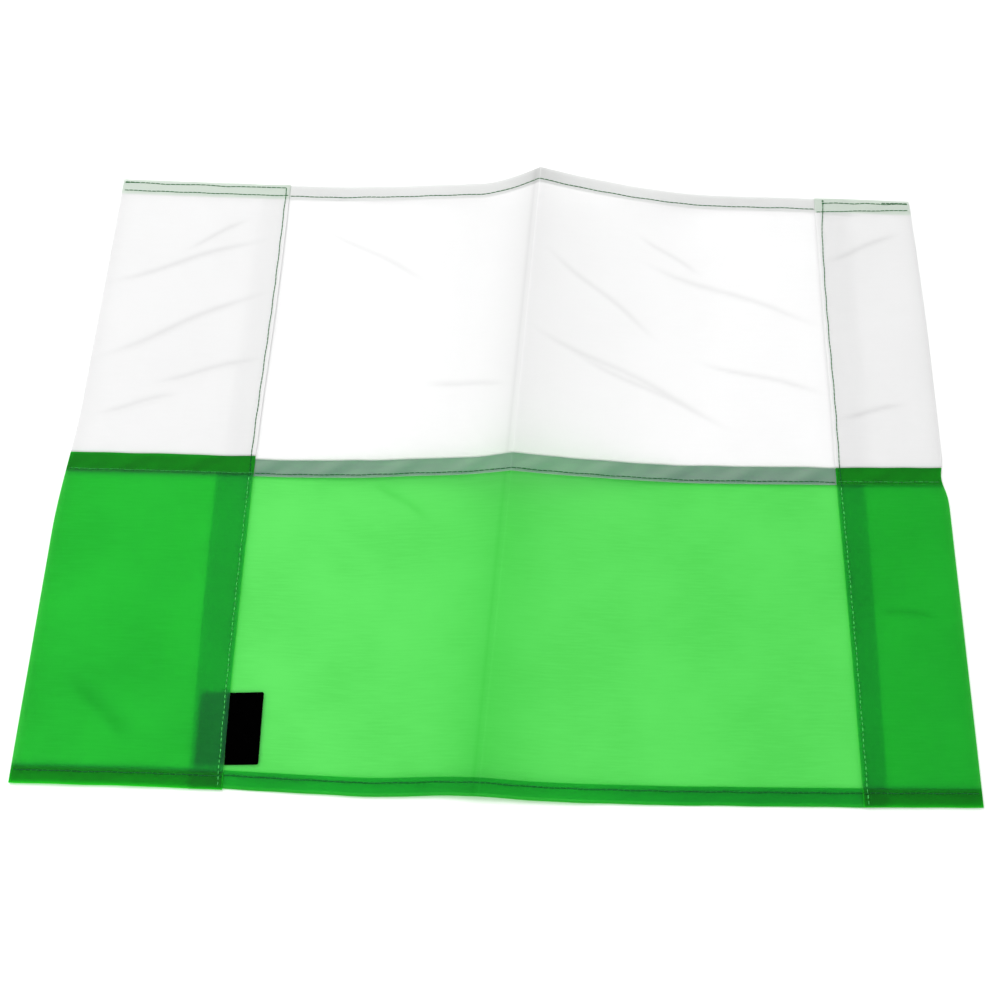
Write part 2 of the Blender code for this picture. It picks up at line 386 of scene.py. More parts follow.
@dataclass(frozen=True)
class Lay:
    """How the sewn flag lies on its back: its small stretches, the packing crease and the wrinkles.

    A place on the flag is given as if it were perfectly flat and square; place() says where it really is.
    All layers are moved by the same amount, so they never cross.
    """

    sizes: FlagSizes
    clearance: float = 0.45 * MM
    crest_high: float = 21.6 * MM
    crest_low: float = 2.6 * MM
    crest_power: float = 1.35
    crest_round: float = 0.35 * MM
    sharp_reach: float = 32.0 * MM
    left_reach: float = 112.0 * MM
    right_reach: float = 100.0 * MM
    sharp_share: float = 0.58
    ripple: float = 0.45 * MM
    slide: float = 1.7 * MM
    wrinkles: tuple[Wrinkle, ...] = ()

    def shift_x(self, x: np.ndarray, y: np.ndarray) -> np.ndarray:
        """Gives how far the cloth is pulled sideways: in at the top corners, out below the seam."""
        left = -1.7 * MM + 4.4 * MM * smooth(-45 * MM, 40 * MM, y)
        left = left + 2.0 * MM * np.clip((y - 45 * MM) / (130 * MM), 0.0, 1.0)
        right = 0.6 * MM - 1.1 * MM * smooth(-20 * MM, 20 * MM, y)
        right = right - 2.3 * MM * np.clip((y - 75 * MM) / (100 * MM), 0.0, 1.0) ** 1.4
        right = right - 2.2 * MM * np.exp(-(((y + 5 * MM) / (8 * MM)) ** 2))
        inner_left = 1.4 * MM - 2.8 * MM * np.exp(-((np.maximum(y, 0.0) / (80 * MM)) ** 2))
        inner_left = inner_left + 1.6 * MM * np.clip(-y / (175 * MM), 0.0, 1.1) ** 4
        inner_right = 0.3 * MM - 0.9 * MM * np.exp(-((y / (60 * MM)) ** 2))
        inner_right = inner_right - 1.0 * MM * smooth(30 * MM, 90 * MM, y)
        s = self.sizes
        left_of = np.clip((x - s.wide_edge) / (s.left - s.wide_edge), 0.0, 1.2)
        right_of = np.clip((x - s.narrow_edge) / (s.right - s.narrow_edge), 0.0, 1.2)
        near_left = np.clip(x / s.wide_edge, 0.0, 1.0)
        near_right = np.clip(x / s.narrow_edge, 0.0, 1.0)
        shift = inner_left * near_left * (1.0 - left_of) + left * left_of
        return shift + inner_right * near_right * (1.0 - right_of) + right * right_of

    def shift_y(self, x: np.ndarray, y: np.ndarray) -> np.ndarray:
        """Gives how far the cloth bows up or down the flag, with the small unevenness of sewn edges."""
        share = x / self.sizes.right
        at_top = -1.8 * MM * share ** 3
        at_seam = -2.2 * MM * (1.0 - smooth(-85 * MM, -20 * MM, x))
        at_seam = at_seam + 2.5 * MM * np.clip(share, 0.0, 1.1) ** 2.6
        left = 3.0 * MM * smooth(-40 * MM, -160 * MM, x)
        right = 3.3 * MM * np.clip(share, 0.0, 1.1) ** 1.9
        at_bottom = -2.3 * MM + left + right + 1.7 * MM * np.exp(-(((x + 20 * MM) / (28 * MM)) ** 2))
        up = np.clip(y / self.sizes.top, 0.0, 1.05)
        down = np.clip(y / self.sizes.bottom, 0.0, 1.05)
        bow = at_seam * (1.0 - up) * (1.0 - down) + at_top * up + at_bottom * down
        uneven = np.sin(x / (7.3 * MM)) + 0.8 * np.sin(x / (4.1 * MM) + 1.3) + np.sin(x / (17 * MM) + 0.4)
        near_edge = np.exp(-(((y - self.sizes.seam_top) / (5 * MM)) ** 2))
        near_edge = near_edge + 0.6 * smooth(160 * MM, 175 * MM, y) + 0.6 * smooth(-160 * MM, -175 * MM, y)
        return bow + 0.11 * MM * uneven * near_edge

    def front_slide(self, x: np.ndarray, y: float) -> np.ndarray:
        """Gives how far the wide sleeve's front was folded out of line: up at the seam, down at its mouth."""
        slide = self.slide * math.exp(-((y / (75 * MM)) ** 2))
        slide = slide - 0.7 * MM * float(smooth(-90 * MM, -165 * MM, y))
        return np.where(x < 0.0, slide, 0.0)

    def ridge(self, x: np.ndarray, y: np.ndarray) -> np.ndarray:
        """Gives how high the packing crease holds the cloth: steep to its left, a long slope to its right."""
        s = self.sizes
        share = np.clip((y - s.bottom) / (s.top - s.bottom), 0.0, 1.02)
        crest = self.crest_low + (self.crest_high - self.crest_low) * share ** self.crest_power
        away = x - s.crease_x(y)
        distance = np.sqrt(away ** 2 + self.crest_round ** 2) - self.crest_round
        sharp = np.clip(1.0 - distance / self.sharp_reach, 0.0, 1.0) ** 1.6
        broad = np.clip(1.0 - distance / self.left_reach, 0.0, 1.0) ** 1.2
        left = self.sharp_share * sharp + (1.0 - self.sharp_share) * broad
        right = np.clip(1.0 - distance / self.right_reach, 0.0, 1.0) ** 1.6
        return crest * np.where(away < 0.0, left, right)

    def rise(self, x: np.ndarray, y: np.ndarray) -> np.ndarray:
        """Gives the lift of wrinkles and of the slight unevenness of cloth that lies loose."""
        total = np.zeros(np.broadcast(x, y).shape)
        for turn in range(7):
            angle = 2.4 * turn + 0.5
            length = 30.0 * MM * 1.27 ** turn
            total = total + np.sin(2 * math.pi * (x * math.cos(angle) + y * math.sin(angle)) / length + turn)
        total = self.ripple * (0.5 + total / 9.0)
        for wrinkle in self.wrinkles:
            total = total + wrinkle.rise(x, y)
        return np.maximum(total, 0.0)

    def painted_shade_and_wear(self, x: np.ndarray, y: np.ndarray) -> np.ndarray:
        """Gives the painted shade beside the packing crease and along the wrinkles, from 0 to 1: a grey band
        on each side of the crease, a dark line just left of it and a lighter line on it.
        """
        away = x - self.sizes.crease_x(y)
        up = np.clip(y / self.sizes.top, 0.0, 1.0)
        down = np.clip(y / self.sizes.bottom, 0.0, 1.0)
        left = (0.24 + 0.1 * up + 0.12 * down) * np.exp(away / (9 * MM))
        left = left + (0.19 + 0.2 * up) * np.exp(away / (42 * MM))
        left = left + 0.22 * np.exp(-(((away + 2.8 * MM) / (0.9 * MM)) ** 2))
        right = (0.24 + 0.08 * up + 0.12 * down) * np.exp(-away / (24 * MM))
        right = right + 0.08 * np.exp(-away / (60 * MM))
        share = np.where(away < 0.0, left, right) - 0.12 * np.exp(-((away / (0.7 * MM)) ** 2))
        for wrinkle in self.wrinkles:
            share = share + 0.28 * wrinkle.rise(x, y) / wrinkle.height
        return np.clip(share, 0.0, 1.0)

    def place(self, x: np.ndarray, y: np.ndarray, lift: np.ndarray) -> np.ndarray:
        """Gives where places on the flag really are.

        Args:
            x: places across the flag.
            y: places up the flag.
            lift: heights over the back of the cloth.

        Returns:
            The points, with the same shape and a last axis of 3.
        """
        x, y, lift = np.broadcast_arrays(*(np.asarray(value, float) for value in (x, y, lift)))
        height = self.clearance + self.ridge(x, y) + self.rise(x, y) + lift
        return np.stack([x + self.shift_x(x, y), y + self.shift_y(x, y), height], axis=-1)


# Where packing creased the cloth: start and end on the flag in metres, then height and width.
PACKING_WRINKLES = (
    Wrinkle((-0.223, 0.106), (-0.136, 0.138), 0.30 * MM, 1.3 * MM),
    Wrinkle((-0.222, 0.058), (-0.132, 0.104), 0.38 * MM, 1.4 * MM),
    Wrinkle((-0.216, 0.024), (-0.172, 0.038), 0.26 * MM, 1.2 * MM),
    Wrinkle((-0.182, 0.129), (-0.148, 0.151), 0.22 * MM, 1.1 * MM),
    Wrinkle((-0.190, 0.043), (-0.130, 0.061), 0.26 * MM, 1.2 * MM),
    Wrinkle((-0.110, 0.149), (-0.044, 0.109), 0.29 * MM, 1.4 * MM),
    Wrinkle((-0.044, 0.046), (0.000, 0.043), 0.24 * MM, 1.4 * MM),
    Wrinkle((0.019, 0.126), (0.080, 0.076), 0.34 * MM, 1.4 * MM),
    Wrinkle((0.070, 0.126), (0.168, 0.089), 0.41 * MM, 1.4 * MM),
    Wrinkle((0.069, 0.143), (0.105, 0.120), 0.26 * MM, 1.2 * MM),
    Wrinkle((0.010, 0.077), (0.101, 0.035), 0.32 * MM, 1.4 * MM),
    Wrinkle((0.032, 0.065), (0.118, 0.023), 0.29 * MM, 1.3 * MM),
    Wrinkle((0.100, 0.064), (0.168, 0.046), 0.30 * MM, 1.3 * MM),
    Wrinkle((0.173, 0.130), (0.217, 0.152), 0.26 * MM, 1.2 * MM),
    Wrinkle((0.173, 0.030), (0.210, 0.040), 0.26 * MM, 1.2 * MM),
    Wrinkle((-0.068, -0.010), (-0.036, -0.034), 0.41 * MM, 1.8 * MM),
    Wrinkle((0.184, -0.077), (0.214, -0.081), 0.45 * MM, 1.4 * MM),
    Wrinkle((-0.205, -0.121), (-0.172, -0.153), 0.52 * MM, 3.0 * MM),
)


# ---------------------------------------------------------------------------------------------------
# Finishes
# ---------------------------------------------------------------------------------------------------


@dataclass(frozen=True)
class CutTone:
    """The colours of one side of a cloth, as sRGB hex.

    plain is its own, streak is a thicker yarn's, crease is the painted shade along the packing crease, the
    wrinkles, the folds and the sleeve edges, seam is the part that is pressed between the other panel's
    layers, and hem is where the green thread draws it tight.
    """

    plain: str
    streak: str
    crease: str
    seam: str
    hem: str


@dataclass(frozen=True)
class NylonTaffeta:
    """Plain-woven nylon filament, calendered and dyed: thin, smooth and translucent.

    Its own colour is weak and most of the light comes through it, so each layer more looks darker. The
    yarns are about 0.15 mm apart, which is too fine to show, so the weave is drawn at 0.7 mm. Thicker
    filling yarns run across the cut as faint streaks, about 1 mm high and 15 mm long.
    """

    name: str
    face: CutTone
    through: CutTone
    gloss: float = 0.02
    roughness: float = 0.5
    yarn: float = 0.7 * MM
    streak_height: float = 1.1 * MM
    streak_length: float = 15.0 * MM
    cloud: float = 45.0 * MM

    def tint(
        self, add: AddNode, tone: CutTone, streaks: bpy.types.NodeSocket
    ) -> bpy.types.NodeSocket:
        """Mixes one side's colours by the streaks and by the attributes "crease" (painted shade), "seam" and
        "hem".

        Args:
            add: adds a node to the material.
            tone: the side's colours.
            streaks: how strong the streaks are at each place.

        Returns:
            The mixed colour.
        """
        colour = add("Mix", {"data_type": "RGBA", 6: srgb(tone.plain), 7: srgb(tone.streak)}, {0: streaks})
        return tinted(add, colour.outputs[2], {"crease": tone.crease, "seam": tone.seam, "hem": tone.hem})

    def material(self) -> bpy.types.Material:
        """Builds the material on the cut's own UV map, so the weave follows the cloth round its folds."""
        material, add = new_material(self.name)
        cut = add("UVMap", {"uv_map": "cut"}, {})
        band = band_scale(self.yarn)
        weft, warp = (
            add(
                "TexWave",
                {"bands_direction": direction, "Scale": band, "Distortion": 0.6, "Detail Scale": 0.4},
                {"Vector": cut.outputs["UV"]},
            )
            for direction in ("Y", "X")
        )
        weave = add("Math", {"operation": "MULTIPLY"}, {0: weft.outputs["Fac"], 1: warp.outputs["Fac"]})
        stretched = add(
            "Mapping",
            {"Scale": (1 / self.streak_length, 1 / self.streak_height, 1.0)},
            {"Vector": cut.outputs["UV"]},
        )
        streaks = add(
            "TexNoise",
            {"noise_dimensions": "2D", "Scale": 1.0, "Detail": 3.0, "Roughness": 0.65},
            {"Vector": stretched.outputs["Vector"]},
        )
        clouds = add(
            "TexNoise",
            {"noise_dimensions": "2D", "Scale": 1 / self.cloud, "Detail": 2.0},
            {"Vector": cut.outputs["UV"]},
        )
        uneven = add(
            "Math",
            {"operation": "MULTIPLY", "use_clamp": True},
            {0: streaks.outputs["Fac"], 1: clouds.outputs["Fac"]},
        )
        amount = add("MapRange", {"From Min": 0.12, "From Max": 0.40}, {"Value": uneven.outputs["Value"]})
        face = self.tint(add, self.face, amount.outputs["Result"])
        through = self.tint(add, self.through, amount.outputs["Result"])
        height = add(
            "Math",
            {"operation": "MULTIPLY_ADD", 1: 0.5},
            {0: streaks.outputs["Fac"], 2: weave.outputs["Value"]},
        )
        bump = add("Bump", {"Strength": 0.25, "Distance": 0.06 * MM}, {"Height": height.outputs["Value"]})
        front = add(
            "BsdfPrincipled",
            {"Roughness": self.roughness, "Specular IOR Level": self.gloss},
            {"Base Color": face, "Normal": bump.outputs["Normal"]},
        )
        back = add("BsdfTranslucent", {}, {"Color": through, "Normal": bump.outputs["Normal"]})
        both = add("AddShader", {}, {0: front.outputs[0], 1: back.outputs[0]})
        add("OutputMaterial", {}, {"Surface": both.outputs[0]})
        return material


@dataclass(frozen=True)
class PolyesterThread:
    """Spun polyester sewing thread, Tex 40: matt, with two plies that show as slanting bands of painted
    highlight and shade.

    Stitches that stand on the dark green sleeve edges catch the light, and their attribute "lit" is 1.
    """

    name: str
    lit: str
    light: str
    dark: str
    ply: float = 1.2 * MM

    def material(self) -> bpy.types.Material:
        """Builds the material on Object coordinates, with the plies slanting across them."""
        material, add = new_material(self.name)
        place = add("TexCoord", {}, {})
        slant = add("Mapping", {"Rotation": (0.0, 0.0, 0.7)}, {"Vector": place.outputs["Object"]})
        plies = add(
            "TexWave",
            {"bands_direction": "X", "Scale": band_scale(self.ply), "Distortion": 1.0},
            {"Vector": slant.outputs["Vector"]},
        )
        fuzz = add(
            "TexNoise", {"Scale": 1 / (6.0 * MM), "Detail": 3.0}, {"Vector": place.outputs["Object"]}
        )
        tone = add(
            "Math",
            {"operation": "MULTIPLY_ADD", 1: 0.5, "use_clamp": True},
            {0: plies.outputs["Fac"], 2: fuzz.outputs["Fac"]},
        )
        # Painted highlight and shade: the plies' bands mix the dark and the light green.
        colour = add(
            "Mix",
            {"data_type": "RGBA", 6: srgb(self.dark), 7: srgb(self.light)},
            {0: tone.outputs["Value"]},
        )
        colour = tinted(add, colour.outputs[2], {"lit": self.lit})
        bump = add("Bump", {"Strength": 0.5, "Distance": 0.05 * MM}, {"Height": plies.outputs["Fac"]})
        shader = add(
            "BsdfPrincipled",
            {"Roughness": 0.75, "Specular IOR Level": 0.05},
            {"Base Color": colour, "Normal": bump.outputs["Normal"]},
        )
        add("OutputMaterial", {}, {"Surface": shader.outputs[0]})
        return material


@dataclass(frozen=True)
class LabelSatin:
    """Damask-woven polyester label, cut and folded hot: dense black satin with fine ribs across it.

    The tail under the sleeve is painted green by the attribute "tail": painted light that stands for the
    green the cloth over it sends back.
    The ribs are about 0.12 mm apart and are drawn at 0.5 mm to show. The hot-cut edge is hard, and a
    painted sheen makes it a little paler.
    """

    name: str
    satin: str
    rib_tone: str
    edge_tone: str
    tail_painted_green_light: str
    rib: float = 0.5 * MM

    def material(self) -> bpy.types.Material:
        """Builds the material on Object coordinates, with the attribute "edge" for the hot-cut edge."""
        material, add = new_material(self.name)
        place = add("TexCoord", {}, {})
        ribs = add(
            "TexWave",
            {"bands_direction": "Y", "Scale": band_scale(self.rib), "Distortion": 0.4},
            {"Vector": place.outputs["Object"]},
        )
        # Random wear of the satin; this noise paints no shade.
        painted_shade_and_wear = add(
            "TexNoise", {"Scale": 1 / (4.0 * MM), "Detail": 4.0}, {"Vector": place.outputs["Object"]}
        )
        tone = add("Math", {"operation": "MULTIPLY"}, {0: ribs.outputs["Fac"], 1: painted_shade_and_wear.outputs["Fac"]})
        satin = add(
            "Mix",
            {"data_type": "RGBA", 6: srgb(self.satin), 7: srgb(self.rib_tone)},
            {0: tone.outputs["Value"]},
        )
        # Painted sheen: the rim is mixed towards a paler tone.
        edge = add("Attribute", {"attribute_name": "edge"}, {})
        line = add("MapRange", {"From Min": 0.55, "From Max": 0.95}, {"Value": edge.outputs["Fac"]})
        colour = add(
            "Mix",
            {"data_type": "RGBA", 7: srgb(self.edge_tone)},
            {0: line.outputs["Result"], 6: satin.outputs[2]},
        )
        # Painted light: the tail hidden under the sleeve is tinted green.
        colour = tinted(add, colour.outputs[2], {"tail": self.tail_painted_green_light})
        bump = add("Bump", {"Strength": 0.4, "Distance": 0.04 * MM}, {"Height": ribs.outputs["Fac"]})
        shader = add(
            "BsdfPrincipled",
            {"Roughness": 0.7, "Specular IOR Level": 0.0},
            {"Base Color": colour, "Normal": bump.outputs["Normal"]},
        )
        add("OutputMaterial", {}, {"Surface": shader.outputs[0]})
        return material


@dataclass(frozen=True)
class PaperFloor:
    """A sheet of matt white background paper, the plain floor that the flag lies on."""

    name: str = "background_paper"
    white: str = "f9f9f9"
    grain: str = "f7f7f7"

    def material(self) -> bpy.types.Material:
        """Builds the material with the faint grain of paper."""
        material, add = new_material(self.name)
        place = add("TexCoord", {}, {})
        grain = add("TexNoise", {"Scale": 1 / (3.0 * MM)}, {"Vector": place.outputs["Object"]})
        colour = add(
            "Mix",
            {"data_type": "RGBA", 6: srgb(self.white), 7: srgb(self.grain)},
            {0: grain.outputs["Fac"]},
        )
        shader = add(
            "BsdfPrincipled",
            {"Roughness": 0.9, "Specular IOR Level": 0.0},
            {"Base Color": colour.outputs[2]},
        )
        add("OutputMaterial", {}, {"Surface": shader.outputs[0]})
        return material


# The crease tones are painted shade: darker colours mixed in by the attribute "crease".
WHITE_NYLON = NylonTaffeta(
    "white_nylon_taffeta",
    face=CutTone(plain="b5b5b5", streak="b4b4b4", crease="949494", seam="5c5d67", hem="a3aaa3"),
    through=CutTone(plain="b5b5b5", streak="b4b4b4", crease="a2a2a2", seam="d5d5d5", hem="acafac"),
)
GREEN_NYLON = NylonTaffeta(
    "green_nylon_taffeta",
    face=CutTone(plain="123526", streak="103223", crease="0d2c1c", seam="0e3212", hem="0e3410"),
    through=CutTone(plain="97e393", streak="90de8c", crease="6ccd6a", seam="50e058", hem="62f264"),
)
GREEN_THREAD = PolyesterThread("green_polyester_thread", lit="4fc45f", light="1c6c33", dark="0a4318")
# The tail's green is painted light for the cloth over it.
BLACK_SATIN = LabelSatin(
    "black_label_satin", satin="000000", rib_tone="030303", edge_tone="101210", tail_painted_green_light="107a18"
)


# ---------------------------------------------------------------------------------------------------
# Cloth
# ---------------------------------------------------------------------------------------------------


@dataclass(frozen=True)
class LayerStack:
    """How far apart the layers of cloth lie, as heights over the back of the flag."""

    layer: float = 0.06 * MM
    allowance_steps: int = 4
    front_steps: int = 12

    @property
    def hem_top(self) -> float:
        """The height of the top of a hem of three layers."""
        return 2 * self.layer

    @property
    def seam_top(self) -> float:
        """The height of the top of the felled seam, of four layers."""
        return 3 * self.layer

    @property
    def allowance(self) -> float:
        """The height of a sleeve's turned-in edge."""
        return self.allowance_steps * self.layer

    @property
    def front(self) -> float:
        """The height of a sleeve's front."""
        return self.front_steps * self.layer

    def turned_in(self, crowd: float) -> float:
        """Gives the height of the turned-in edge: just under the front, or lower where hems need room.

        Args:
            crowd: 1 at a hem or seam, 0 well away from it.

        Returns:
            The height over the back of the flag.
        """
        close = self.front - 1.3 * self.layer
        return close + (self.allowance - close) * crowd


class ClothPanel:
    """One panel, from its raw top edge to its raw bottom edge, with its hems and both its sleeves."""

    def __init__(self, panel: Panel, lay: Lay, stack: LayerStack) -> None:
        """Keeps what the panel is made from.

        Args:
            panel: which panel it is.
            lay: how the flag lies.
            stack: how its layers lie on each other.
        """
        self.panel = panel
        self.lay = lay
        self.stack = stack
        self.spacing = 1.5 * MM
        self.tuck = 0.2 * MM
        self.usual_allowance = 16 * MM
        self.cut_size = (0.0, 0.0)

    def crowd(self, y: float) -> float:
        """Tells how near a height on the flag is to a hem or the seam, from 0 to 1."""
        s = self.lay.sizes
        gap = min(max(0.0, s.top_hem - y), abs(y - s.seam_row) - 6 * MM, max(0.0, y - s.bottom_hem))
        return 1.0 - float(smooth(5 * MM, 11 * MM, max(0.0, gap)))

    def allowance_width(self, side: Side, y: float) -> float:
        """Gives how much cloth is turned in under a sleeve's stitched edge, which the maker cut by eye."""
        widths = {
            (Panel.WHITE, Side.WIDE): (15.3, 15.1),
            (Panel.WHITE, Side.NARROW): (16.6, 18.7),
            (Panel.GREEN, Side.WIDE): (15.4, 19.4),
            (Panel.GREEN, Side.NARROW): (11.3, 14.1),
        }
        low, high = widths[(self.panel, side)]
        start = 0.0 if self.panel is Panel.WHITE else self.lay.sizes.bottom
        return (low + (high - low) * (y - start) / self.lay.sizes.top) * MM

    def sleeve_line(self, side: Side, y: float) -> np.ndarray:
        """Follows the cloth of one sleeve at one height, from the raw edge in the pocket to the back wall.

        Args:
            side: which sleeve.
            y: the height on the flag.

        Returns:
            Rows of x, height, the x and height of the direction towards the cloth's face side, and how
            much the row belongs to the sleeve's front.
        """
        stack = self.stack
        edge, outer = self.lay.sizes.edge(side), self.lay.sizes.outer(side)
        low = stack.turned_in(self.crowd(y))
        turn = (stack.front - low) / 2
        bend = stack.front / 2
        count = len(steps(edge, edge + self.usual_allowance, self.spacing))
        lines = [
            (out, low, 0.0, 1.0, 1.0)
            for out in np.linspace(edge + self.allowance_width(side, y), edge + turn, count)[:-1]
        ]
        for angle in np.linspace(-math.pi / 2, math.pi / 2, SLEEVE_FOLD_POINTS):
            across, up = math.cos(angle), math.sin(angle)
            lines.append((edge + turn - turn * across, low + turn + turn * up, across, -up, 1.0))
        count = len(steps(edge, outer - bend, self.spacing))
        flat = np.linspace(edge + turn, outer - bend, count)[1:-1]
        lines += [(out, stack.front, 0.0, -1.0, 1.0) for out in flat]
        for angle in np.linspace(math.pi / 2, -math.pi / 2, SLEEVE_FOLD_POINTS):
            across, up = math.cos(angle), math.sin(angle)
            lines.append((outer - bend + bend * across, bend + bend * up, -across, -up, (1.0 + up) / 2))
        line = np.array(lines)
        line[:, 0] *= side.value
        line[:, 2] *= side.value
        return line

    def back_line(self, y: float) -> np.ndarray:
        """Follows the back wall and the middle at one height, with fine columns where the crease runs."""
        bend = self.stack.front / 2
        crease = float(self.lay.sizes.crease_x(y))
        fine = np.array([0.0, 0.25, 0.55, 0.9, 1.35, 1.9, 2.6, 3.5, 4.6, 6.0]) * MM
        reach = {side: self.lay.sizes.outer(side) - bend for side in Side}
        left = steps(-reach[Side.WIDE], self.lay.sizes.crease_at - fine[-1], self.spacing)[1:]
        right = steps(self.lay.sizes.crease_at + fine[-1], reach[Side.NARROW], self.spacing)[:-1]
        left = np.interp(left, [-reach[Side.WIDE], left[-1]], [-reach[Side.WIDE], crease - fine[-1]])
        right = np.interp(right, [right[0], reach[Side.NARROW]], [crease + fine[-1], reach[Side.NARROW]])
        across = np.concatenate([left, crease - fine[-2::-1], crease + fine[1:-1], right])
        return np.stack([across, 0 * across, 0 * across, 1 + 0 * across, 0 * across], axis=-1)

    def fold(self, at: float, start: float, end: float, outward: int) -> list[tuple[float, float]]:
        """Turns the cloth over at a hem.

        Args:
            at: the height on the flag of the fold's outermost line.
            start: the layer height before the fold.
            end: the layer height after it.
            outward: 1 if the fold points up the flag, -1 if down.

        Returns:
            Points of y and layer height round the fold.
        """
        radius = abs(end - start) / 2
        middle = (start + end) / 2
        turn = math.copysign(1.0, end - start)
        reach = outward * radius
        return [
            (at - reach + reach * math.cos(angle), middle + turn * radius * math.sin(angle))
            for angle in np.linspace(-math.pi / 2, math.pi / 2, HEM_FOLD_POINTS)
        ]

    def run(self, start: float, end: float, height: float) -> list[tuple[float, float]]:
        """Runs flat between two folds, without its end points."""
        return [(y, height) for y in steps(start, end, self.spacing)[1:-1]]

    def profile(self) -> np.ndarray:
        """Follows the panel's cloth down the flag, from raw edge to raw edge.

        Returns:
            Rows of y and layer height.
        """
        one = self.stack.layer
        s = self.lay.sizes
        if self.panel is Panel.WHITE:
            points = [(s.top - 1.6 * MM, one)]
            points += self.run(s.top - 1.6 * MM, s.top_hem + one / 2, one)
            points += self.fold(s.top_hem, one, 2 * one, -1)
            points += self.run(s.top_hem + one / 2, s.top - one, 2 * one)
            points += self.fold(s.top, 2 * one, 0.0, 1)
            points += self.run(s.top - one, s.seam_top + 1.2 * MM, 0.0)
            before, after = s.seam_top + 1.2 * MM, s.seam_top - 0.3 * MM
            points += [
                (before + (after - before) * share, 3 * one * float(smooth(0.2, 0.8, share)))
                for share in np.linspace(0.0, 1.0, 9)
            ]
            points += self.run(after, s.seam_bottom + one, 3 * one)
            points += self.fold(s.seam_bottom, 3 * one, one, -1)
            points += self.run(s.seam_bottom + one, s.seam_top - 1.0 * MM, one)
            points.append((s.seam_top - 1.0 * MM, one))
            return np.array(points)
        tuck = s.seam_top - self.tuck
        points = [(s.seam_bottom + 0.3 * MM, 2 * one)]
        points += self.run(s.seam_bottom + 0.3 * MM, tuck - one, 2 * one)
        points += self.fold(tuck, 2 * one, 0.0, 1)
        points += self.run(tuck - one, s.bottom + one, 0.0)
        points += self.fold(s.bottom, 0.0, 2 * one, -1)
        points += self.run(s.bottom + one, s.bottom_hem - one / 2, 2 * one)
        points += self.fold(s.bottom_hem, 2 * one, one, 1)
        points += self.run(s.bottom_hem - one / 2, s.bottom + 1.5 * MM, one)
        points.append((s.bottom + 1.5 * MM, one))
        return np.array(points)

    def marks(self, y: float, layer: float, x: np.ndarray, line: np.ndarray) -> dict[str, np.ndarray]:
        """Gives how strongly each of the cloth's tones shows along one height.

        Args:
            y: the height on the flag.
            layer: the layer height there.
            x: places across the flag.
            line: the rows of sleeve_line and back_line that the places belong to.

        Returns:
            The shares of the tones "crease" (painted shade), "seam" and "hem".
        """
        s = self.lay.sizes
        front = line[:, 4]
        turned = (front == 1.0) & (line[:, 3] > 0.0)
        inside = np.minimum(x - s.left, s.right - x)
        # Painted shade along the packing crease and the wrinkles.
        crease = self.lay.painted_shade_and_wear(x, np.full_like(x, y))
        # Painted shade along the sleeves' folded outer edges.
        crease = crease + 0.45 * front * np.exp(-np.maximum(inside, 0.0) / (3 * MM))
        # Painted shade along the folds of the hems and the seam.
        folds = (s.bottom, s.seam_top - self.tuck, s.seam_bottom)
        if self.panel is Panel.GREEN or layer > 0.0:
            crease = crease + max(math.exp(-(((y - fold) / (0.8 * MM)) ** 2)) for fold in folds)
        mouth = float(y < s.bottom_hem)
        pressed = float(y < s.seam_top and layer > 0.5 * self.stack.layer)
        if self.panel is Panel.WHITE:
            # Painted shade on the turned-in edge under the sleeve front.
            crease = crease + 0.18 * turned
            smudge = np.sin(x / (3.7 * MM) - y / (2 * MM)) * np.sin(x / (11 * MM))
            seam = pressed * (0.92 + 0.08 * smudge)
            single = (x > s.wide_edge) & (x < s.narrow_edge)
            above = float(y > s.top_hem)
            # Darker in the middle of the top hem, by the painted-shade tone.
            crease = crease + 0.18 * single * above
            hem = (0.45 + 0.55 * front - 0.35 * single) * above
        else:
            # Painted shade: the green is darker on the sleeve fronts and darkens towards the right, most in
            # the bottom hem.
            rightward_painted_shade = smooth(20 * MM, 120 * MM, x)
            green_painted_shade = 0.15 * rightward_painted_shade + (0.06 + 0.12 * rightward_painted_shade) * front
            crease = crease + 0.15 * rightward_painted_shade * mouth + green_painted_shade * ~turned
            seam = front * (float(y > s.seam_bottom) + 0.5 * mouth)
            hem = (0.1 + 0.5 * front) * mouth
        return {"crease": np.clip(crease, 0.0, 1.0), "seam": seam, "hem": hem}

    def build(self) -> bpy.types.Object:
        """Folds the panel into its hems and sleeves and lays it out.

        Returns:
            The sheet.
        """
        profile = self.profile()
        down = np.concatenate([[0.0], np.cumsum(np.hypot(*np.diff(profile, axis=0).T))])
        places = []
        cut = []
        marks = []
        for (y, layer), length in zip(profile, down):
            line = np.vstack(
                [self.sleeve_line(Side.WIDE, y), self.back_line(y), self.sleeve_line(Side.NARROW, y)[::-1]]
            )
            across = np.concatenate([[0.0], np.cumsum(np.hypot(*np.diff(line[:, :2], axis=0).T))])
            x = line[:, 0] + line[:, 2] * layer
            slid = y + line[:, 4] * self.lay.front_slide(x, y)
            places.append(self.lay.place(x, slid, line[:, 1] + line[:, 3] * layer))
            cut.append(np.stack([across, np.full_like(across, down[-1] - length)], axis=-1))
            marks.append(self.marks(y, layer, x, line))
        self.cut_size = (float(np.max(np.array(cut)[:, :, 0])), float(down[-1]))
        tones = {name: np.array([row[name] for row in marks]) for name in marks[0]}
        return grid_mesh(f"{self.panel.value}_cloth", np.array(places), np.array(cut), tones)


# ---------------------------------------------------------------------------------------------------
# Sewing
# ---------------------------------------------------------------------------------------------------


